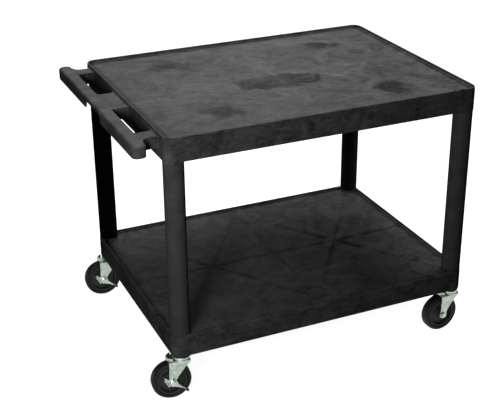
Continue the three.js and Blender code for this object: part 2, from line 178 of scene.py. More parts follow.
def object_place(tree, stretch=(1, 1, 1)):
    """Object coordinates, squeezed so that a pattern can run longer one way."""
    place = add_node(tree, "ShaderNodeTexCoord").outputs["Object"]
    if stretch == (1, 1, 1):
        return place
    mapping = add_node(tree, "ShaderNodeMapping", links={"Vector": place}, values={"Scale": stretch})
    return mapping.outputs["Vector"]


def bumped(tree, shader, *layers):
    """Adds bump layers of (height, strength, depth in mm) to a shader, one on another."""
    normal = None
    for height, strength, depth in layers:
        links = {"Height": height}
        if normal is not None:
            links["Normal"] = normal
        values = {"Strength": strength, "Distance": depth * MM}
        normal = add_node(tree, "ShaderNodeBump", links=links, values=values).outputs["Normal"]
    tree.links.new(normal, shader.inputs["Normal"])


def arithmetic(tree, operation, first, second=None):
    """One Math node on sockets or plain numbers."""
    node = add_node(tree, "ShaderNodeMath", {"operation": operation})
    for slot, value in enumerate((first, second)):
        if isinstance(value, (int, float)):
            node.inputs[slot].default_value = value
        elif value is not None:
            tree.links.new(value, node.inputs[slot])
    return node.outputs[0]


# %% [markdown]
# ## Edit-mode helpers
# Each piece starts as a primitive and is shaped in edit mode. Faces and edges are picked by where
# they are or where they look, the way a hand picks them with the mouse.

# %% Selection helpers
SMOOTH_UP_TO = math.radians(35)


def only(piece):
    """Selects one object and makes it active."""
    if bpy.context.object and bpy.context.object.mode != "OBJECT":
        bpy.ops.object.mode_set(mode="OBJECT")
    bpy.ops.object.select_all(action="DESELECT")
    piece.select_set(True)
    bpy.context.view_layer.objects.active = piece


def pick(piece, kind, test):
    """In edit mode, selects the faces or edges that pass the test."""
    bpy.ops.mesh.select_mode(type=kind)
    bpy.ops.mesh.select_all(action="DESELECT")
    mesh = bmesh.from_edit_mesh(piece.data)
    for item in mesh.faces if kind == "FACE" else mesh.edges:
        if test(item):
            item.select_set(True)
    bmesh.update_edit_mesh(piece.data)


def middle_of(edge):
    return (edge.verts[0].co + edge.verts[1].co) / 2


def along(edge, axis):
    """True for an edge that runs along X, Y or Z (0, 1 or 2)."""
    direction = (edge.verts[1].co - edge.verts[0].co).normalized()
    return abs(direction[axis]) > 0.999


def finish_mesh(piece):
    """Merges doubles, turns faces outwards and shades smooth over the softer edges."""
    only(piece)
    bpy.ops.object.mode_set(mode="EDIT")
    bpy.ops.mesh.select_all(action="SELECT")
    bpy.ops.mesh.remove_doubles(threshold=0.00001)
    bpy.ops.mesh.normals_make_consistent(inside=False)
    bpy.ops.object.mode_set(mode="OBJECT")
    bpy.ops.object.shade_smooth_by_angle(angle=SMOOTH_UP_TO)


def block(name, low, high):
    """A cube stretched between two corners, in metres, with its place in its mesh."""
    bpy.ops.object.select_all(action="DESELECT")
    low, high = Vector(low), Vector(high)
    bpy.ops.mesh.primitive_cube_add(size=1, location=(low + high) / 2)
    piece = bpy.context.object
    piece.name = name
    piece.scale = high - low
    bpy.ops.object.transform_apply(location=True, rotation=True, scale=True)
    return piece


def bevel_edges(piece, test, radius, segments):
    """Rounds the edges that pass the test."""
    only(piece)
    bpy.ops.object.mode_set(mode="EDIT")
    pick(piece, "EDGE", test)
    bpy.ops.mesh.bevel(offset=radius, segments=segments, affect="EDGES")
    bpy.ops.object.mode_set(mode="OBJECT")


def combine(piece, tool, operation="UNION"):
    """Joins or cuts a piece with a tool, and throws the tool away."""
    only(piece)
    modifier = piece.modifiers.new("combine", "BOOLEAN")
    modifier.operation = operation
    modifier.solver = "MANIFOLD"
    modifier.object = tool
    bpy.ops.object.modifier_apply(modifier=modifier.name)
    bpy.data.objects.remove(tool)
    return piece


def arc(centre, radius, start, end, steps):
    """Points on an arc, start and end in degrees."""
    angles = [math.radians(start + (end - start) * i / steps) for i in range(steps + 1)]
    return [(centre[0] + radius * math.cos(a), centre[1] + radius * math.sin(a)) for a in angles]


def walk(piece, up, level, path):
    """Draws the top or bottom face through (inset, height) stations, one inset or extrusion each."""
    only(piece)
    bpy.ops.object.mode_set(mode="EDIT")
    pick(piece, "FACE", lambda face: face.normal.z * up > 0.9)
    inset_now, height_now = 0.0, level
    for inset, height in path:
        step = inset - inset_now
        if abs(step) < 1e-7:
            bpy.ops.mesh.extrude_region_move()
        else:
            bpy.ops.mesh.inset(thickness=abs(step), use_outset=step < 0, use_even_offset=True)
        bpy.ops.transform.translate(value=(0, 0, height - height_now))
        inset_now, height_now = inset, height
    bpy.ops.object.mode_set(mode="OBJECT")


def outline(name, points, low, high):
    """A flat outline of (x, y) points filled at z = low and extruded up to z = high."""
    bpy.ops.object.select_all(action="DESELECT")
    bpy.ops.mesh.primitive_circle_add(vertices=len(points), fill_type="NGON")
    piece = bpy.context.object
    piece.name = name
    for vertex, (x, y) in zip(piece.data.vertices, points):
        vertex.co = (x, y, low)
    bpy.ops.object.mode_set(mode="EDIT")
    bpy.ops.mesh.select_all(action="SELECT")
    bpy.ops.mesh.extrude_region_move(TRANSFORM_OT_translate={"value": (0, 0, high - low)})
    bpy.ops.mesh.select_all(action="SELECT")
    bpy.ops.mesh.normals_make_consistent(inside=False)
    bpy.ops.object.mode_set(mode="OBJECT")
    return piece


def turn_about(name, profile, axis="Z", steps=64):
    """Spins a closed (radius, height) profile about the Z or the Y axis."""
    bpy.ops.object.select_all(action="DESELECT")
    bpy.ops.mesh.primitive_circle_add(vertices=len(profile), fill_type="NOTHING")
    piece = bpy.context.object
    piece.name = name
    for vertex, (radius, height) in zip(piece.data.vertices, profile):
        vertex.co = (radius, 0, height) if axis == "Z" else (radius, height, 0)
    bpy.ops.object.mode_set(mode="EDIT")
    bpy.ops.mesh.select_all(action="SELECT")
    direction = (0, 0, 1) if axis == "Z" else (0, 1, 0)
    bpy.ops.mesh.spin(steps=steps, angle=2 * math.pi, center=(0, 0, 0), axis=direction)
    bpy.ops.mesh.select_all(action="SELECT")
    bpy.ops.mesh.remove_doubles(threshold=0.000005)
    bpy.ops.mesh.normals_make_consistent(inside=False)
    bpy.ops.object.mode_set(mode="OBJECT")
    return piece


def scaled(points):
    """Points in millimetres as points in metres."""
    return [(a * MM, b * MM) for a, b in points]


# %% Placing helpers
END_ON = Matrix(((0, 0, 1, 0), (1, 0, 0, 0), (0, 1, 0, 0), (0, 0, 0, 1)))


def place(piece, matrix):
    """Moves a piece and applies the move to its mesh."""
    only(piece)
    piece.matrix_world = matrix
    bpy.ops.object.transform_apply(location=True, rotation=True, scale=True)
    return piece


def twin(piece, name):
    """A copy with a mesh of its own."""
    copy = piece.copy()
    copy.data = piece.data.copy()
    copy.name = name
    bpy.context.collection.objects.link(copy)
    return copy


def shift(x=0.0, y=0.0, z=0.0):
    return Matrix.Translation(Vector((x, y, z)) * MM)


def turn(degrees, axis="Z"):
    return Matrix.Rotation(math.radians(degrees), 4, axis)


def upright(name, points, near, far):
    """An outline drawn in Y and Z, extruded along X from near to far."""
    return place(outline(name, scaled(points), near * MM, far * MM), END_ON)


def plate(name, points, near, far):
    """An outline drawn in X and Z, extruded from near to far on the -Y side."""
    return place(outline(name, scaled(points), near * MM, far * MM), turn(90, "X"))


def soften_normals(piece):
    """Lets the large flats keep their own shading beside the small rounded edges."""
    only(piece)
    modifier = piece.modifiers.new("weighted", "WEIGHTED_NORMAL")
    modifier.keep_sharp = True
    bpy.ops.object.modifier_apply(modifier=modifier.name)


def deliver(piece, body, nodes, material):
    """Finishes a piece's mesh, gives it its material and hangs it on its body."""
    finish_mesh(piece)
    soften_normals(piece)
    piece.data.materials.clear()
    piece.data.materials.append(material)
    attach(piece, body)
    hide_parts(*nodes)
    print(piece.name, len(piece.data.polygons), "faces on", body)


# %% [markdown]
# ## Materials
# Structural foam shows faint swirls where the gas met the mould wall, and a fine eggshell grain. Zinc
# plate is a bright, slightly blue skin over pressed steel. The tyres are grey-black rubber, dusty and
# dry. Each recipe varies colour, roughness and relief, all at their real sizes.

# %% Structural foam plastic
BLACK, GREY = "#141414", "#494949"
CROSS_MIDDLE = 183.7
CROSS_SLOPE = math.radians(55.35)
DECK_HALF = (398, 297)
SHELF_MIDDLE = 36.5
PATCH = (22.0, -42.0)
SMUDGE = (222, 187)
WOBBLE = 13
CROSS_SHADE, HALO_SHADE = -0.55, 0.16


def nearest_rib(tree, across, side, cross):
    """Distance on the deck to the nearest rib below it."""
    nearest = arithmetic(tree, "MINIMUM", across, side)
    if cross:
        from_middle = arithmetic(tree, "SUBTRACT", across, CROSS_MIDDLE * MM)
        aside = arithmetic(tree, "ABSOLUTE", from_middle)
        rise = arithmetic(tree, "MULTIPLY", aside, math.sin(CROSS_SLOPE))
        run = arithmetic(tree, "MULTIPLY", side, math.cos(CROSS_SLOPE))
        diagonal = arithmetic(tree, "ABSOLUTE", arithmetic(tree, "SUBTRACT", rise, run))
        nearest = arithmetic(tree, "MINIMUM", nearest, diagonal)
    return nearest


def spot_distance(tree, across, side, x, y, stretch=1.0):
    """Distance to the point (x, y) of every quarter of the deck, in metres."""
    dx = arithmetic(tree, "MULTIPLY", arithmetic(tree, "SUBTRACT", across, x * MM), stretch)
    dy = arithmetic(tree, "SUBTRACT", side, y * MM)
    x_square, y_square = (arithmetic(tree, "MULTIPLY", side, side) for side in (dx, dy))
    return arithmetic(tree, "SQRT", arithmetic(tree, "ADD", x_square, y_square))


def rib_marks(tree, tone, across, side, wobble, on_deck, cross):
    """Shades a tone over the ribs, paints the lip's shadow at its foot. Returns it with the ribs' lines.
    """
    shake = arithmetic(tree, "MULTIPLY", wobble, 0.35)
    near = arithmetic(tree, "ADD", nearest_rib(tree, across, side, cross), shake)
    hub = spot_distance(tree, across, side, CROSS_MIDDLE if cross else 0, 0)
    fade = arithmetic(tree, "MULTIPLY", spread(tree, hub, 1, 0.25, 40 * MM, 230 * MM), on_deck)
    line = arithmetic(tree, "MULTIPLY", spread(tree, near, 1, 0, 0, 11 * MM), fade)
    halo = arithmetic(tree, "MULTIPLY", spread(tree, near, 1, 0, 8 * MM, 60 * MM), fade)
    strength = CROSS_SHADE if cross else HALO_SHADE
    tone = arithmetic(tree, "ADD", tone, arithmetic(tree, "MULTIPLY", line, strength))
    tone = arithmetic(tree, "ADD", tone, arithmetic(tree, "MULTIPLY", halo, HALO_SHADE))
    # Painted shadow: the deck darkens within 14 mm of the lip, most at its foot, where the lip's shadow
    # falls.
    half_x, half_y = DECK_HALF
    gap_x = arithmetic(tree, "SUBTRACT", half_x * MM, across)
    gap_y = arithmetic(tree, "SUBTRACT", half_y * MM, side)
    foot = spread(tree, arithmetic(tree, "MINIMUM", gap_x, gap_y), 0.5, 0, 3 * MM, 14 * MM)
    tone = arithmetic(tree, "SUBTRACT", tone, arithmetic(tree, "MULTIPLY", foot, on_deck))
    return tone, line


def wear_marks(tree, tone, x, y, across, side, wobble, on_deck, flow):
    """Four dark smudges, a dark patch near the middle and a pale broken crease across it."""
    along_deck = arithmetic(tree, "SUBTRACT", x, PATCH[0] * MM)
    over_deck = arithmetic(tree, "SUBTRACT", y, PATCH[1] * MM)
    four = arithmetic(tree, "ADD", spot_distance(tree, across, side, *SMUDGE), wobble)
    middle = arithmetic(tree, "ADD", spot_distance(tree, along_deck, over_deck, 0, 0, 0.52), wobble)
    round_marks = spread(tree, four, 1, 0, 12 * MM, 52 * MM)
    dark = arithmetic(tree, "MAXIMUM", round_marks, spread(tree, middle, 1, 0, 48 * MM, 58 * MM))
    tone = arithmetic(tree, "SUBTRACT", tone, arithmetic(tree, "MULTIPLY", dark, 0.5))
    wander = arithmetic(tree, "ADD", over_deck, arithmetic(tree, "MULTIPLY", wobble, 1.6))
    crease_mark = spread(tree, arithmetic(tree, "ABSOLUTE", wander), 1, 0, 1.5 * MM, 6 * MM)
    broken = spread(tree, flow, 0, 0.4, 0.45, 0.6)
    light = arithmetic(tree, "MULTIPLY", crease_mark, broken)
    return arithmetic(tree, "ADD", tone, arithmetic(tree, "MULTIPLY", light, on_deck))


def foam_plastic(name, ribs=None, smudges=False, cloud=0.38):
    """Swirled black plastic; a deck shows ribs, straight or cross, its wear and a painted lip shadow."""
    material, tree, shader = new_material(name, IOR=1.5, Specular_IOR_Level=0.05)
    place = object_place(tree)
    swirl = noise(tree, place, 110, 8, 0.62, 2.2)
    flow = noise(tree, object_place(tree, (0.4, 1.3, 1.0)), 9, 8, 0.75, 0.8)
    pits = noise(tree, place, 5, 3)
    grain = noise(tree, place, 0.9, 2)
    mottle = arithmetic(tree, "MULTIPLY", arithmetic(tree, "ADD", swirl, flow), 0.5)
    tone = spread(tree, mottle, -cloud, cloud, 0.38, 0.62)
    layers = [(swirl, 0.4, 0.5), (flow, 0.3, 0.25), (pits, 0.3, 0.08), (grain, 0.5, 0.04)]
    if ribs is not None:
        parts = add_node(tree, "ShaderNodeSeparateXYZ", links={"Vector": place}).outputs
        x, y = parts["X"], parts["Y"]
        across = arithmetic(tree, "ABSOLUTE", arithmetic(tree, "SUBTRACT", x, SHELF_MIDDLE * MM))
        side = arithmetic(tree, "ABSOLUTE", y)
        on_deck = arithmetic(
            tree,
            "MULTIPLY",
            arithmetic(tree, "LESS_THAN", across, DECK_HALF[0] * MM),
            arithmetic(tree, "LESS_THAN", side, DECK_HALF[1] * MM),
        )
        wobble = spread(tree, swirl, -WOBBLE * MM, WOBBLE * MM, 0.35, 0.65)
        tone, line = rib_marks(tree, tone, across, side, wobble, on_deck, ribs == "cross")
        layers.insert(0, (arithmetic(tree, "SUBTRACT", 1, line), 0.5, 0.3))
        if smudges:
            tone = wear_marks(tree, tone, x, y, across, side, wobble, on_deck, flow)
    tone = arithmetic(tree, "ADD", tone, 0.5)
    tree.links.new(ramp(tree, tone, linear(BLACK), linear(GREY)), shader.inputs["Base Color"])
    rough = spread(tree, arithmetic(tree, "ADD", mottle, pits), 0.42, 0.6, 0.7, 1.3)
    tree.links.new(rough, shader.inputs["Roughness"])
    bumped(tree, shader, *layers)
    return material


top_plastic = foam_plastic("structural_foam_top_shelf", "straight", smudges=True)
bottom_plastic = foam_plastic("structural_foam_bottom_shelf", "cross")
leg_plastic = foam_plastic("extruded_leg_plastic", cloud=0.12)
print("plastics ready")

# %% Metals, rubber and the small parts


def plated(name, low, high, rough_low, rough_high):
    """Bare or plated steel, from a dull patch to a bright one."""
    material, tree, shader = new_material(name, Metallic=1.0)
    place = object_place(tree)
    patches = noise(tree, place, 9, 4, 0.6, 0.6)
    fine = noise(tree, place, 0.5, 2)
    tree.links.new(ramp(tree, patches, linear(low), linear(high), 0.35, 0.7), shader.inputs["Base Color"])
    tree.links.new(spread(tree, patches, rough_low, rough_high, 0.3, 0.7), shader.inputs["Roughness"])
    bumped(tree, shader, (patches, 0.25, 0.08), (fine, 0.25, 0.01))
    return material


def moulded(name, low, high, rough_low, rough_high, patch=12, grain=0.6):
    """Rubber or a small plastic part; patch and grain are sizes in millimetres."""
    material, tree, shader = new_material(name, IOR=1.5, Specular_IOR_Level=0.2)
    place = object_place(tree)
    patches = noise(tree, place, patch, 4, 0.6)
    fine = noise(tree, place, grain, 2)
    tree.links.new(ramp(tree, patches, linear(low), linear(high), 0.35, 0.7), shader.inputs["Base Color"])
    tree.links.new(spread(tree, patches, rough_low, rough_high, 0.3, 0.7), shader.inputs["Roughness"])
    bumped(tree, shader, (patches, 0.2, 0.05), (fine, 0.35, 0.03))
    return material


zinc = plated("zinc_plated_pressed_steel", "#9aa79b", "#c3cfc1", 0.26, 0.44)
bearing = plated("hardened_bearing_steel", "#a9adae", "#c9cccb", 0.18, 0.3)
bolt_zinc = plated("zinc_plated_bolt_steel", "#a4ada6", "#ccd4ca", 0.22, 0.36)
tyre_rubber = moulded("moulded_thermoplastic_rubber", "#0b0c0b", "#141514", 0.5, 0.7, 20, 0.8)
core_plastic = moulded("injection_moulded_wheel_core", "#1c1d1d", "#282928", 0.38, 0.55)
sleeve_nylon = moulded("natural_nylon", "#cfccc0", "#dedbd0", 0.4, 0.55)
tip_vinyl = moulded("dipped_vinyl", "#141516", "#1f2021", 0.3, 0.45)
print("metals, rubber and small parts ready")

# %% [markdown]
# ## The shelves
# A shelf is moulded upside down as one deep tray. It starts here as a block with rounded corners. The
# top face is then walked inwards and down: over the rounded rim, down the lip and out on to the deck.
# The bottom face is walked up the inside of the skirt in the same way.

# %% Shelf body
LEG_X, LEG_Y = 381.0, 279.4
SHELF_X, SHELF_Y = 406.4, 304.8
CORNER = 25.4
WALL, RIM, LIP, DECK = 6.0, 5.0, 6.4, 6.0
EASE = 0.8
RIM_ROUND = 2.4
RIB_WIDTH, RIB_DEPTH = 4, 8
CROSS_LENGTH = 646.2


def round_steps(radius, steps=5):
    """(sideways, along) of a quarter circle, leaving along and arriving sideways."""
    turns = [math.pi / 2 * i / steps for i in range(1, steps + 1)]
    return [(radius * (1 - math.cos(t)), radius * math.sin(t)) for t in turns]


def round_over(piece, up, edge, radius, steps):
    """Walks the top (up is 1) or bottom (up is -1) face over a rounded edge."""
    start = edge - up * radius
    stations = [(s, start + up * a) for s, a in round_steps(radius, steps)]
    walk(piece, up, start * MM, scaled(stations))


def underside(base, wall, lean, roof, curve, steps):
    """Stations round the bottom of a wall and up its inside to a hollow curve below the roof."""
    lower = [(s, base + EASE - a) for s, a in round_steps(EASE, 3)]
    inside = [(wall - EASE + a, base + s) for s, a in round_steps(EASE, 3)]
    ceiling = [(wall + lean + s, roof - curve + a) for s, a in round_steps(curve, steps)]
    return lower + [(wall - EASE, base)] + inside + [(wall + lean, roof - curve)] + ceiling


def tray(name, base, top):
    """A deep tray from base to top, with its deck below the rim."""
    shoulder, lean, inner_round, foot_round = top - 10, 0.8, 1.2, 1.6
    piece = block(
        name,
        ((SHELF_MIDDLE - SHELF_X) * MM, -SHELF_Y * MM, (base + EASE) * MM),
        ((SHELF_MIDDLE + SHELF_X) * MM, SHELF_Y * MM, shoulder * MM),
    )
    bevel_edges(piece, lambda edge: along(edge, 2), CORNER * MM, 12)
    deck = top - LIP
    start = top - RIM_ROUND
    over = [(lean, start)] + [(lean + s, start + a) for s, a in round_steps(RIM_ROUND)]
    flat = RIM - inner_round
    inner = [(flat + a, top - s) for s, a in round_steps(inner_round, 3)]
    lip_foot = (RIM + 0.4, deck + foot_round)
    foot = [(lip_foot[0] + s, lip_foot[1] - a) for s, a in round_steps(foot_round, 4)]
    walk(piece, 1, shoulder * MM, scaled(over + [(flat, top)] + inner + [lip_foot] + foot))
    walk(piece, -1, (base + EASE) * MM, scaled(underside(base, WALL, 0.5, deck - DECK, 2.5, 4)))
    return piece


def bar(length, low, high):
    """A rib lying along X about the middle, with its lower edges eased."""
    near_corner = Vector((-length / 2, -RIB_WIDTH / 2, low))
    far_corner = Vector((length / 2, RIB_WIDTH / 2, high))
    rib = block("rib", near_corner * MM, far_corner * MM)
    bevel_edges(rib, lambda e: along(e, 0) and middle_of(e).z < (low + 0.1) * MM, EASE * MM, 2)
    return rib


def add_ribs(piece, under):
    """Ribs under the deck: one each way and a cross in each half."""
    low, high = under - RIB_DEPTH, under + 1
    combine(piece, place(bar(2 * SHELF_X - 8, low, high), shift(SHELF_MIDDLE)))
    combine(piece, place(bar(2 * SHELF_Y - 8, low, high), shift(SHELF_MIDDLE) @ turn(90)))
    for side in (-1, 1):
        middle = shift(SHELF_MIDDLE + side * CROSS_MIDDLE)
        for way in (-1, 1):
            rib = bar(CROSS_LENGTH, low, high)
            combine(piece, place(rib, middle @ turn(way * math.degrees(CROSS_SLOPE))))


def corner_places():
    return [(SHELF_MIDDLE + x * LEG_X, y * LEG_Y) for x in (-1, 1) for y in (-1, 1)]


# %% [markdown]
# ## The push handle
# The handle is moulded with the top shelf. A flat bar with a downturned edge stands off the end wall
# on three short channel-shaped arms, and every joint between them is drawn as a soft hollow curve so
# that the plastic flows and the fingers meet no sharp corner.

# %% Push handle
WALL_X = SHELF_MIDDLE - SHELF_X
BAR_IN, BAR_OUT = WALL_X - 39.5, WALL_X - 73.0
BAR_HALF = 303.0
HANDLE_DEPTH, HANDLE_PLATE = 29.5, 10
GRIP_ROUND, ARM_ROUND = 7.0, 3.0
NOTCH_HALF, NOTCH_ROUND = 59.0, 9.0


def rounded(x0, x1, y0, y1, radius):
    """Points of a rounded rectangle."""
    points = arc((x1 - radius, y1 - radius), radius, 0, 90, 8)
    points += arc((x0 + radius, y1 - radius), radius, 90, 180, 8)
    points += arc((x0 + radius, y0 + radius), radius, 180, 270, 8)
    return points + arc((x1 - radius, y0 + radius), radius, 270, 360, 8)


def grip_bar(top):
    """The bar that is held, hollow below its plate."""
    low = top - HANDLE_DEPTH
    points = rounded(BAR_OUT, BAR_IN, -BAR_HALF, BAR_HALF, 14)
    piece = outline("grip_bar", scaled(points), (low + EASE) * MM, (top - GRIP_ROUND) * MM)
    round_over(piece, 1, top, GRIP_ROUND, 7)
    path = underside(low, 5.0, 0.3, top - HANDLE_PLATE, 2, 3)
    walk(piece, -1, (low + EASE) * MM, scaled(path))
    return piece


def cut_notch(piece, top):
    """Leaves the outer edge out beside the middle arm, and opens the bar into the arm's hollow."""
    roof, below = top - HANDLE_PLATE, top - HANDLE_DEPTH - 1.5
    turn_y, turn_z = NOTCH_HALF - NOTCH_ROUND, roof - NOTCH_ROUND
    points = [(-NOTCH_HALF - 3, below), (NOTCH_HALF + 3, below)]
    points += arc((turn_y, turn_z), NOTCH_ROUND, 0, 90, 6)
    points += arc((-turn_y, turn_z), NOTCH_ROUND, 90, 180, 6)
    combine(piece, upright("notch", points, BAR_OUT - 2, BAR_OUT + 12), "DIFFERENCE")
    near_corner, far_corner = Vector((BAR_OUT + 2, -50, below)), Vector((BAR_IN + 2, 50, roof))
    combine(piece, block("opening", near_corner * MM, far_corner * MM), "DIFFERENCE")


def arm(y0, y1, top):
    """A channel from the bar to the wall, with wide flares on the side facing the end of the bar."""
    flare = [(18.0, 4.0) if outer else (2.5, 2.5) for outer in (y1 > 200, y0 < -200)]
    (left, left_wall), (right, right_wall) = flare
    points = [(BAR_IN - 9, y1 + left), (BAR_IN, y1 + left)]
    points += arc((BAR_IN + left, y1 + left), left, 180, 270, 8)[1:]
    points += arc((WALL_X - left_wall, y1 + left_wall), left_wall, 270, 360, 6)
    points += [(WALL_X + 3, y1 + left_wall), (WALL_X + 3, y0 - right_wall)]
    points += arc((WALL_X - right_wall, y0 - right_wall), right_wall, 0, 90, 6)
    points += arc((BAR_IN + right, y0 - right), right, 90, 180, 8)
    points += [(BAR_IN - 9, y0 - right)]
    low = top - HANDLE_DEPTH
    piece = outline("arm", scaled(points[::-1]), (low + EASE) * MM, (top - ARM_ROUND) * MM)
    round_over(piece, 1, top, ARM_ROUND, 5)
    round_over(piece, -1, low, EASE, 3)
    near_corner = Vector((BAR_IN - 12, y0 + 5, low - 2))
    far_corner = Vector((WALL_X + 1, y1 - 5, top - HANDLE_PLATE))
    hollow = block("hollow", near_corner * MM, far_corner * MM)
    bevel_edges(hollow, lambda e: along(e, 0) and middle_of(e).z > (top - 12) * MM, 3 * MM, 3)
    combine(piece, hollow, "DIFFERENCE")
    return piece


def arm_fillet(y0, y1, top):
    """The hollow curve where an arm's top runs up into the wall."""
    radius = 4.0
    points = [(WALL_X + 2, top - 2), (WALL_X + 2, top + radius), (WALL_X, top + radius)]
    points += arc((WALL_X - radius, top + radius), radius, 0, -90, 6)[1:] + [(WALL_X - radius, top - 2)]
    return plate("fillet", points, -y1, -y0)


TOP_RIM, TOP_BASE = 682.0, 622.7
TOP_DECK = TOP_RIM - LIP
ARMS = ((-260, -222), (-55, 55), (222, 260))

top_shelf = tray("top_shelf_moulding", TOP_BASE, TOP_RIM)
add_ribs(top_shelf, TOP_DECK - DECK)
handle = grip_bar(TOP_DECK)
cut_notch(handle, TOP_DECK)
combine(top_shelf, handle)
for low_y, high_y in ARMS:
    combine(top_shelf, arm(low_y, high_y, TOP_DECK))
    combine(top_shelf, arm_fillet(low_y - 7, high_y + 7, TOP_DECK))
print("top shelf and handle:", len(top_shelf.data.polygons), "faces")


# %% [markdown]
# ## Sockets in the corners
# Each corner of a shelf is a thick round boss that grips the end of a leg. Below the top shelf the
# boss shows as a short collar. On the bottom shelf it rises to the rim as a flat pad, and the pad
# runs into the lip on both sides in a hollow curve.

# %% Corner sockets
BOSS, LEG_BORE, STEM_BORE = 25.0, 19.8, 8.8


def boss(x, y, low, high):
    """A thick ring at a corner, with its lower edge rounded."""
    inner, ease = 14.0, 1.2
    edge = [(BOSS - s, low + ease - a) for s, a in round_steps(ease, 3)]
    profile = [(inner, low), *edge[::-1], (BOSS, low + ease), (BOSS, high), (inner, high)]
    return place(turn_about("boss", scaled(profile)), shift(x, y))


def bore(x, y, radius, low, high):
    """A cylinder to cut a round hole with."""
    bpy.ops.object.select_all(action="DESELECT")
    bpy.ops.mesh.primitive_cylinder_add(
        vertices=64,
        radius=radius * MM,
        depth=(high - low) * MM,
        location=Vector((x, y, (low + high) / 2)) * MM,
    )
    only(bpy.context.object)
    bpy.ops.object.transform_apply(location=True, rotation=True, scale=True)
    return bpy.context.object


def pad(low, high):
    """A flat pad at a corner: round towards the deck and flared into both lips."""
    reach, blend = CORNER - RIM, 10.0
    swing = math.degrees(math.acos((reach - blend) / (BOSS + blend)))
    side = math.sqrt((BOSS + blend) ** 2 - (reach - blend) ** 2)
    flare = [(reach + 3, -side), (reach, -side)]
    flare += arc((reach - blend, -side), blend, 0, 180 - swing, 6)[1:]
    points = flare + arc((0, 0), BOSS, -swing, -270 + swing, 14)[1:-1]
    points += [(b, a) for a, b in flare[::-1]] + arc((0, 0), reach + 3, 90, 0, 10)
    piece = outline("pad", scaled(points), low * MM, (high - 1) * MM)
    round_over(piece, 1, high, 1, 3)
    return piece


for x, y in corner_places():
    combine(top_shelf, boss(x, y, TOP_BASE - 5, TOP_DECK - DECK + 1))
    combine(top_shelf, bore(x, y, LEG_BORE, TOP_BASE - 6, TOP_BASE + 35.3), "DIFFERENCE")
deliver(top_shelf, "root", ["top_shelf"], top_plastic)

BOTTOM_RIM, BOTTOM_BASE = 176.7, 120.7
PAD_TURNS = {(False, False): 180, (False, True): 90, (True, False): -90, (True, True): 0}
bottom_shelf = tray("bottom_shelf_moulding", BOTTOM_BASE, BOTTOM_RIM)
add_ribs(bottom_shelf, BOTTOM_RIM - LIP - DECK)
for x, y in corner_places():
    combine(bottom_shelf, boss(x, y, BOTTOM_BASE - 3, BOTTOM_RIM - 0.2))
    pad_turn = turn(PAD_TURNS[(x > SHELF_MIDDLE, y > 0)])
    combine(bottom_shelf, place(pad(BOTTOM_RIM - LIP - 1, BOTTOM_RIM), shift(x, y) @ pad_turn))
    combine(bottom_shelf, bore(x, y, LEG_BORE, BOTTOM_RIM - 26.3, BOTTOM_RIM + 1), "DIFFERENCE")
    combine(bottom_shelf, bore(x, y, STEM_BORE, BOTTOM_BASE - 4, BOTTOM_BASE + 26.7), "DIFFERENCE")
deliver(bottom_shelf, "root", ["bottom_shelf"], bottom_plastic)

# %% [markdown]
# ## The legs
# Each leg is a thick plastic tube, turned down at both ends to fit its sockets, with a small
# chamfer where the shoulder meets the collar.

# %% Legs
# Which way each corner lies along X and Y, and how far its caster stands swung at rest.
CORNERS = {
    "rear_right": (-1, -1, -6),
    "rear_left": (-1, 1, -4),
    "front_right": (1, -1, 4),
    "front_left": (1, 1, 2),
}
FOOT, SHOULDER = BOTTOM_RIM + 0.3, TOP_BASE - 5.3
leg_profile = [
    (15.5, FOOT - 26.3), (18.7, FOOT - 26.3), (19.5, FOOT - 25.5), (19.5, FOOT),
    (23.7, FOOT), (24.3, FOOT + 0.3), (24.5, FOOT + 0.9), (24.5, SHOULDER - 0.9),
    (24.3, SHOULDER - 0.3), (23.7, SHOULDER), (19.5, SHOULDER), (19.5, SHOULDER + 38.9),
    (18.7, SHOULDER + 39.7), (15.5, SHOULDER + 39.7),
]
leg_model = turn_about("leg_model", scaled(leg_profile), "Z", 72)
for corner, (x, y, _) in CORNERS.items():
    leg = place(twin(leg_model, "leg_tube_" + corner), shift(SHELF_MIDDLE + x * LEG_X, y * LEG_Y))
    deliver(leg, "root", ["leg_" + corner], leg_plastic)
bpy.data.objects.remove(leg_model)

# %% [markdown]
# ## The casters
# A caster is a pressed fork hung on two rows of balls. Everything is modelled about the swivel axis
# with the wheel trailing towards -X, then copied to the four corners, each swung a few degrees.

# %% Caster placing
AXLE = 49.57
TRAIL = 27.0
CROWN_BASE, CROWN_TOP = 105.07, 107.57
CROWN_AT = -20.5
STEM_HOLE, AXLE_HOLE, EYE = 5.8, 4.3, 10.5


def at_corner(corner):
    x, y, swing = CORNERS[corner]
    return shift(SHELF_MIDDLE + x * LEG_X, y * LEG_Y) @ turn(swing)


def at_axle(corner):
    return at_corner(corner) @ shift(-TRAIL, 0, AXLE)


def spread_out(model, piece_name, node_name, body_name, material, matrix, corners=tuple(CORNERS)):
    """Copies a caster piece to its corners and throws the model away."""
    for corner in corners:
        piece = place(twin(model, piece_name + "_" + corner), matrix(corner))
        deliver(piece, body_name.format(corner), [node_name + "_" + corner], material)
    bpy.data.objects.remove(model)


# %% [markdown]
# The fork starts as a bent strip, an arch over the wheel. Its legs are trimmed to a tapering outline
# that reaches back to the axle, and the crown gets a round ball race and an upturned rim at the tail.

# %% Fork


def arch_strip():
    """The bent strip seen end on: its outside, then its inside."""
    half, inside, bend = 20.2, 17.7, 6.0
    outer = [(half, 30)] + arc((half - bend, CROWN_TOP - bend), bend, 0, 90, 6)
    outer += arc((bend - half, CROWN_TOP - bend), bend, 90, 180, 6) + [(-half, 30)]
    small = bend - 2.5
    inner = [(-inside, 30)] + arc((small - inside, CROWN_BASE - small), small, 180, 90, 6)
    inner += arc((inside - small, CROWN_BASE - small), small, 90, 0, 6) + [(inside, 30)]
    return upright("arch", outer + inner, -60, 40)


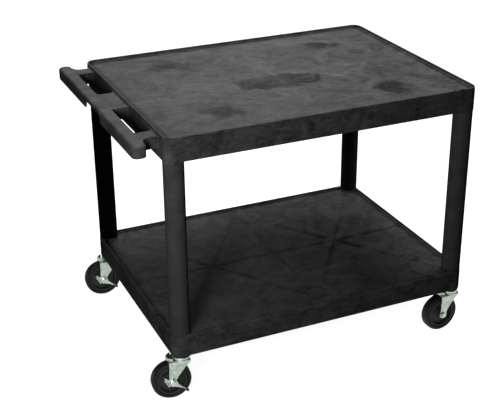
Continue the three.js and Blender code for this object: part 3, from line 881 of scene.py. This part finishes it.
def crease(piece, x, inward):
    """Folds the legs in a little before a line, as the press does to stiffen them."""
    only(piece)
    bpy.ops.object.mode_set(mode="EDIT")
    bpy.ops.mesh.select_all(action="SELECT")
    bpy.ops.mesh.bisect(plane_co=(x * MM, 0, 0), plane_no=(1, 0, 0))
    bpy.ops.object.mode_set(mode="OBJECT")
    for side in (-1, 1):

        def at_foot(edge):
            spot = middle_of(edge)
            return along(edge, 1) and spot.x > 30 * MM and spot.z < 31 * MM and spot.y * side > 0

        bpy.ops.object.mode_set(mode="EDIT")
        pick(piece, "EDGE", at_foot)
        bpy.ops.transform.translate(value=(0, -side * inward * MM, 0))
        bpy.ops.object.mode_set(mode="OBJECT")


def fork_side():
    """The fork seen from the side: round about the axle, tapering up to the crown."""
    end = arc((-TRAIL, AXLE), EYE, 180, 388, 20)
    waist = [(-13.5, 63.0), (-2.0, 78.0), (8.0, 90.5), (12.5, 95.6), (16.0, 98.8), (19.2, 102.0)]
    waist += [(19.2, 112), (-34.5, 112), (-34.5, 90), (-35.0, 70)]
    return plate("side", end + waist, -25, 25)


def ring(inner, outer, low, high, ease):
    """A flat ring about Z with eased edges."""
    profile = [
        (inner, low + ease), (inner + ease, low), (outer - ease, low), (outer, low + ease),
        (outer, high - ease), (outer - ease, high), (inner + ease, high), (inner, high - ease),
    ]
    return turn_about("ring", scaled(profile), "Z", 48)


def fork_model():
    piece = arch_strip()
    crease(piece, -19, 5)
    combine(piece, fork_side(), "INTERSECT")
    combine(piece, ring(STEM_HOLE, 22, 103.9, 108.6, 1.4))
    combine(piece, place(ring(STEM_HOLE, 17, CROWN_BASE, CROWN_TOP, 0.3), shift(CROWN_AT)))
    rim = place(ring(14.5, 17, CROWN_BASE, CROWN_TOP + 6.5, 0.7), shift(CROWN_AT))
    front = block("front", Vector((-24.3, -40, 90)) * MM, Vector((40, 40, 130)) * MM)
    combine(rim, front, "DIFFERENCE")
    combine(piece, rim)
    combine(piece, bore(0, 0, STEM_HOLE, 90, 130), "DIFFERENCE")
    axle_hole = place(bore(0, 0, AXLE_HOLE, -25, 25), shift(-TRAIL, 0, AXLE) @ turn(90, "X"))
    combine(piece, axle_hole, "DIFFERENCE")
    return piece


spread_out(fork_model(), "fork_pressing", "fork", "swivel_{}", zinc, at_corner)

# %% Upper race


def race_model():
    top, base, lower, radius, rounding = 115.5, 113.07, 110.17, 24.0, 1.8
    edge = [(radius - s, top - rounding + a) for s, a in round_steps(rounding, 4)]
    profile = [(STEM_HOLE, base), (22.0, base), (22.3, lower), (23.5, lower)]
    profile += [(radius, lower + 0.5), (radius, top - rounding)]
    return turn_about("race", scaled(profile + edge + [(STEM_HOLE, top)]), "Z", 48)


spread_out(race_model(), "race_dish", "upper_race", "root", zinc, at_corner)

# %% [markdown]
# ## Wheels
# The tread is a soft rubber band moulded round a hard core. Its crown is nearly flat, its shoulders
# are round, and its side carries the fine rings left by the turned mould.

# %% Wheels


def about_y(name, half):
    """Spins half a wheel's profile and its mirror image about the axle."""
    return turn_about(name, scaled(half + [(r, -y) for r, y in half[::-1]]), "Y", 96)


def tyre_model():
    side = [(38.1, -12.6), (38.8, -13.9), (39.8, -14.5), (40.4, -14.3), (41.0, -14.8), (41.8, -15.0)]
    shoulder = arc((41.5, -7), 8, -78, -12, 9)
    return about_y("tyre", side + shoulder + [(49.45, -5.0), (49.56, -2.0)])


def core_model():
    half = [
        (7.3, -16.4), (7.9, -17.0), (12.2, -17.0), (13.0, -16.2), (13.6, -6.6), (15.4, -4.9),
        (18, -4.5), (29.5, -4.5), (31.6, -5.2), (32.6, -7.0), (33.0, -12.7), (33.8, -13.5),
        (37.0, -13.5), (37.7, -12.8),
    ]
    return about_y("core", half)


spread_out(tyre_model(), "tyre_tread", "tyre", "wheel_{}", tyre_rubber, at_axle)
spread_out(core_model(), "wheel_centre", "wheel_core", "wheel_{}", core_plastic, at_axle)

# %% [markdown]
# ## Axles
# The axle bolt has a hexagon head with the usual thirty-degree chamfer. On the two braked casters the
# head stands out by the thickness of the lever.

# %% Axle bolts and nuts
FORK_OUT = 20.2
GAP = 0.3
HEX = 13 / math.sqrt(3)
HEAD, NUT = 4.5, 5.5
BRAKED = ("rear_right", "rear_left")
PLAIN = ("front_right", "front_left")


def hexagon(low, high, chamfer_low, chamfer_high):
    """A hexagon along Z with its corners turned off on the chosen ends."""
    bpy.ops.object.select_all(action="DESELECT")
    middle, depth = (low + high) / 2 * MM, (high - low) * MM
    bpy.ops.mesh.primitive_cylinder_add(vertices=6, radius=HEX * MM, depth=depth, location=(0, 0, middle))
    piece = bpy.context.object
    bpy.ops.object.transform_apply(location=True, rotation=True, scale=True)
    flat, clear, drop, past = 6.2, 9, 0.9, 0.01
    low_r, low_drop = (flat, drop) if chamfer_low else (clear, 0)
    high_r, high_drop = (flat, drop) if chamfer_high else (clear, 0)
    profile = [
        (0, low - past), (low_r, low - past), (clear, low + low_drop + 0.6),
        (clear, high - high_drop - 0.6), (high_r, high + past), (0, high + past),
    ]
    combine(piece, turn_about("turned", scaled(profile), "Z", 48), "INTERSECT")
    return piece


def bolt_model(lever_room):
    head = -FORK_OUT - lever_room - GAP
    end = FORK_OUT + GAP + NUT + 2
    piece = hexagon(head - HEAD, head, True, False)
    shank = [(0, head - 1), (4, head - 1), (4, end - 0.7), (3.3, end), (0, end)]
    combine(piece, turn_about("shank", scaled(shank), "Z", 32))
    return place(piece, turn(-90, "X"))


def nut_model():
    base = FORK_OUT + GAP
    piece = hexagon(base, base + NUT, True, True)
    combine(piece, bore(0, 0, AXLE_HOLE, base - 1, base + 7), "DIFFERENCE")
    return place(piece, turn(-90, "X"))


spread_out(bolt_model(2.5), "bolt", "axle_bolt", "swivel_{}", bolt_zinc, at_axle, BRAKED)
spread_out(bolt_model(0), "bolt", "axle_bolt", "swivel_{}", bolt_zinc, at_axle, PLAIN)
spread_out(nut_model(), "nut", "axle_nut", "swivel_{}", bolt_zinc, at_axle)

# %% [markdown]
# ## Brake levers
# The brake lever is a pressed plate about the axle bolt. Each of its two wings has a flange turned out
# from the wheel, so that a shoe finds it, and the front flange ends in a dipped vinyl tip.

# %% Brake levers
FRONT, REAR = -43, 120
SHEET, FLANGE = 2.2, 8
BACK = FORK_OUT + GAP
FACE = BACK + SHEET


def on_line(angle, along_line, beside):
    """A point along a line through the axle's centre, and beside it."""
    c, s = math.cos(math.radians(angle)), math.sin(math.radians(angle))
    return (along_line * c - beside * s, along_line * s + beside * c)


def line_bar(name, angle, start, end, low, high, near, far):
    """A straight bar beside a line through the axle's centre."""
    corners = [on_line(angle, a, b) for a, b in ((start, low), (end, low), (end, high), (start, high))]
    return plate(name, corners, near, far)


def lever_model():
    middle = arc((0, 0), EYE, 10, 128, 12)
    wing = ((23.5, 7.1), (25, 7.6), (26, 9), (26, 11.6), (25, 12.7), (8, 12.7), (3, 12.7))
    wing_end = [on_line(REAR, *p) for p in wing]
    sole = [(-11.6, -4.4), (-10.6, -5.3), (0, -9.0), (14.3, -14.0)]
    front = ((33, 4.0), (39.5, 6.0), (41, 7.0), (41, 8.2), (9, 8.2))
    front_end = [on_line(FRONT, *p) for p in front]
    piece = plate("lever", middle + wing_end + sole + front_end, BACK, FACE)
    out = FACE + FLANGE

    def outer_edge(edge):
        return abs(middle_of(edge).y) > (out - 0.1) * MM and not along(edge, 1)

    for flange in (
        line_bar("flange", FRONT, 9, 41, 6, 8.2, BACK, out),
        line_bar("flange", REAR, 2, 26, 10.5, 12.7, BACK, out),
    ):
        bevel_edges(flange, outer_edge, 0.4 * MM, 2)
        combine(piece, flange)
    combine(piece, place(bore(0, 0, AXLE_HOLE, -30, 0), turn(-90, "X")), "DIFFERENCE")
    return piece


def tip_model():
    piece = line_bar("tip", FRONT, 33, 42.5, 4.5, 9.7, FACE + 0.5, FACE + 9.5)
    bevel_edges(piece, lambda e: middle_of(e).y < -(FACE + 0.6) * MM, 1.1 * MM, 3)
    slot = line_bar("slot", FRONT, 32, 41.3, 5.7, 8.5, FACE + 0.4, FACE + 8.3)
    combine(piece, slot, "DIFFERENCE")
    return piece


spread_out(lever_model(), "brake_plate", "brake_lever", "brake_{}", zinc, at_axle, BRAKED)
spread_out(tip_model(), "dipped_tip", "brake_tip", "brake_{}", tip_vinyl, at_axle, BRAKED)

# %% [markdown]
# ## Pieces out of sight
# Stems, socket sleeves, ball rings and axle sleeves stay as the frame holds them. They only need
# their own materials.

# %% Hidden pieces
HIDDEN = {
    "socket_sleeve": sleeve_nylon,
    "caster_stem": zinc,
    "ball_ring": bearing,
    "axle_sleeve": bearing,
}
for corner in CORNERS:
    for name, material in HIDDEN.items():
        node = frame["nodes"][name + "_" + corner]
        node.data.materials.clear()
        node.data.materials.append(material)
print("hidden pieces:", len(HIDDEN) * len(CORNERS))

# %% [markdown]
# ## Floor and backdrop
# One wide pale sheet, bright of itself like paper on a light table. It gives the trolley no bounced
# light and is not mirrored in it, so the skirts stay nearly black. Reflector cards stand in for it in
# the plated steel and the rubber.

# %% Floor
bpy.ops.object.select_all(action="DESELECT")
bpy.ops.mesh.primitive_plane_add(size=80, location=(0, 0, -0.0005))
floor = bpy.context.object
floor.name = "floor"
floor_paint, _, _ = new_material(
    "pale_floor",
    Base_Color=linear("#8a8a8a"),
    Roughness=0.9,
    Emission_Color=(1, 1, 1, 1),
    Emission_Strength=0.97,
)
floor.data.materials.append(floor_paint)
floor.visible_diffuse = False
floor.visible_glossy = False

# The two far legs are shaded from the panel on the left, as by a black flag beside it.
FAR_LEGS = ["leg_tube_rear_left", "leg_tube_front_left"]
not_far_legs = bpy.data.collections.new("all_but_the_far_legs")
for item in bpy.data.objects:
    if item.type == "MESH" and item.name not in FAR_LEGS:
        not_far_legs.objects.link(item)
left_panel.light_linking.receiver_collection = not_far_legs

# Only steel sees the four upright cards. Rubber, wheel core and vinyl see just the paper below them.
CARD_AIM = (0, 0, 0.1)
metal_only = bpy.data.collections.new("plated_steel")
metal_and_rubber = bpy.data.collections.new("plated_steel_and_rubber")
for item in bpy.data.objects:
    if item.type != "MESH" or not item.data.materials:
        continue
    if item.data.materials[0] in (zinc, bolt_zinc, bearing):
        metal_only.objects.link(item)
        metal_and_rubber.objects.link(item)
    elif item.data.materials[0] in (tyre_rubber, core_plastic, tip_vinyl):
        metal_and_rubber.objects.link(item)
cards = [
    ("front_card", (-0.8, -2.4, 0.5), CARD_AIM, (2.6, 1.6), 15, metal_only),
    ("left_card", (-2.6, 0.2, 0.7), CARD_AIM, (2.2, 1.6), 12, metal_only),
    ("right_card", (2.6, -0.4, 0.9), CARD_AIM, (2.2, 1.6), 12, metal_only),
    ("back_card", (0.4, 2.6, 0.9), CARD_AIM, (2.6, 1.6), 12, metal_only),
    ("paper_card", (0, 0, 0.002), (0, 0, 1), (4.0, 4.0), 50, metal_and_rubber),
]
for name, spot, aim, card, power, seen_by in cards:
    light = add_panel(name, spot, aim, card, power)
    light.light_linking.receiver_collection = seen_by
world = bpy.data.worlds.new("studio")
bpy.context.scene.world = world
world.use_nodes = True
world.node_tree.nodes["Background"].inputs["Color"].default_value = (1, 1, 1, 1)
world.node_tree.nodes["Background"].inputs["Strength"].default_value = 0.02
bpy.context.scene.view_settings.view_transform = "Standard"
print("studio ready")

# %% [markdown]
# ## The size
# The bounds of all the finished pieces are measured together, leaving out the floor.

# %% Size


def visual_bounds():
    depsgraph = bpy.context.evaluated_depsgraph_get()
    low, high = Vector((9, 9, 9)), Vector((-9, -9, -9))
    for item in bpy.data.objects:
        if item.type != "MESH" or item.hide_render or item == floor:
            continue
        for vertex in item.evaluated_get(depsgraph).data.vertices:
            spot = item.matrix_world @ vertex.co
            low = Vector(map(min, low, spot))
            high = Vector(map(max, high, spot))
    return low, high


low, high = visual_bounds()
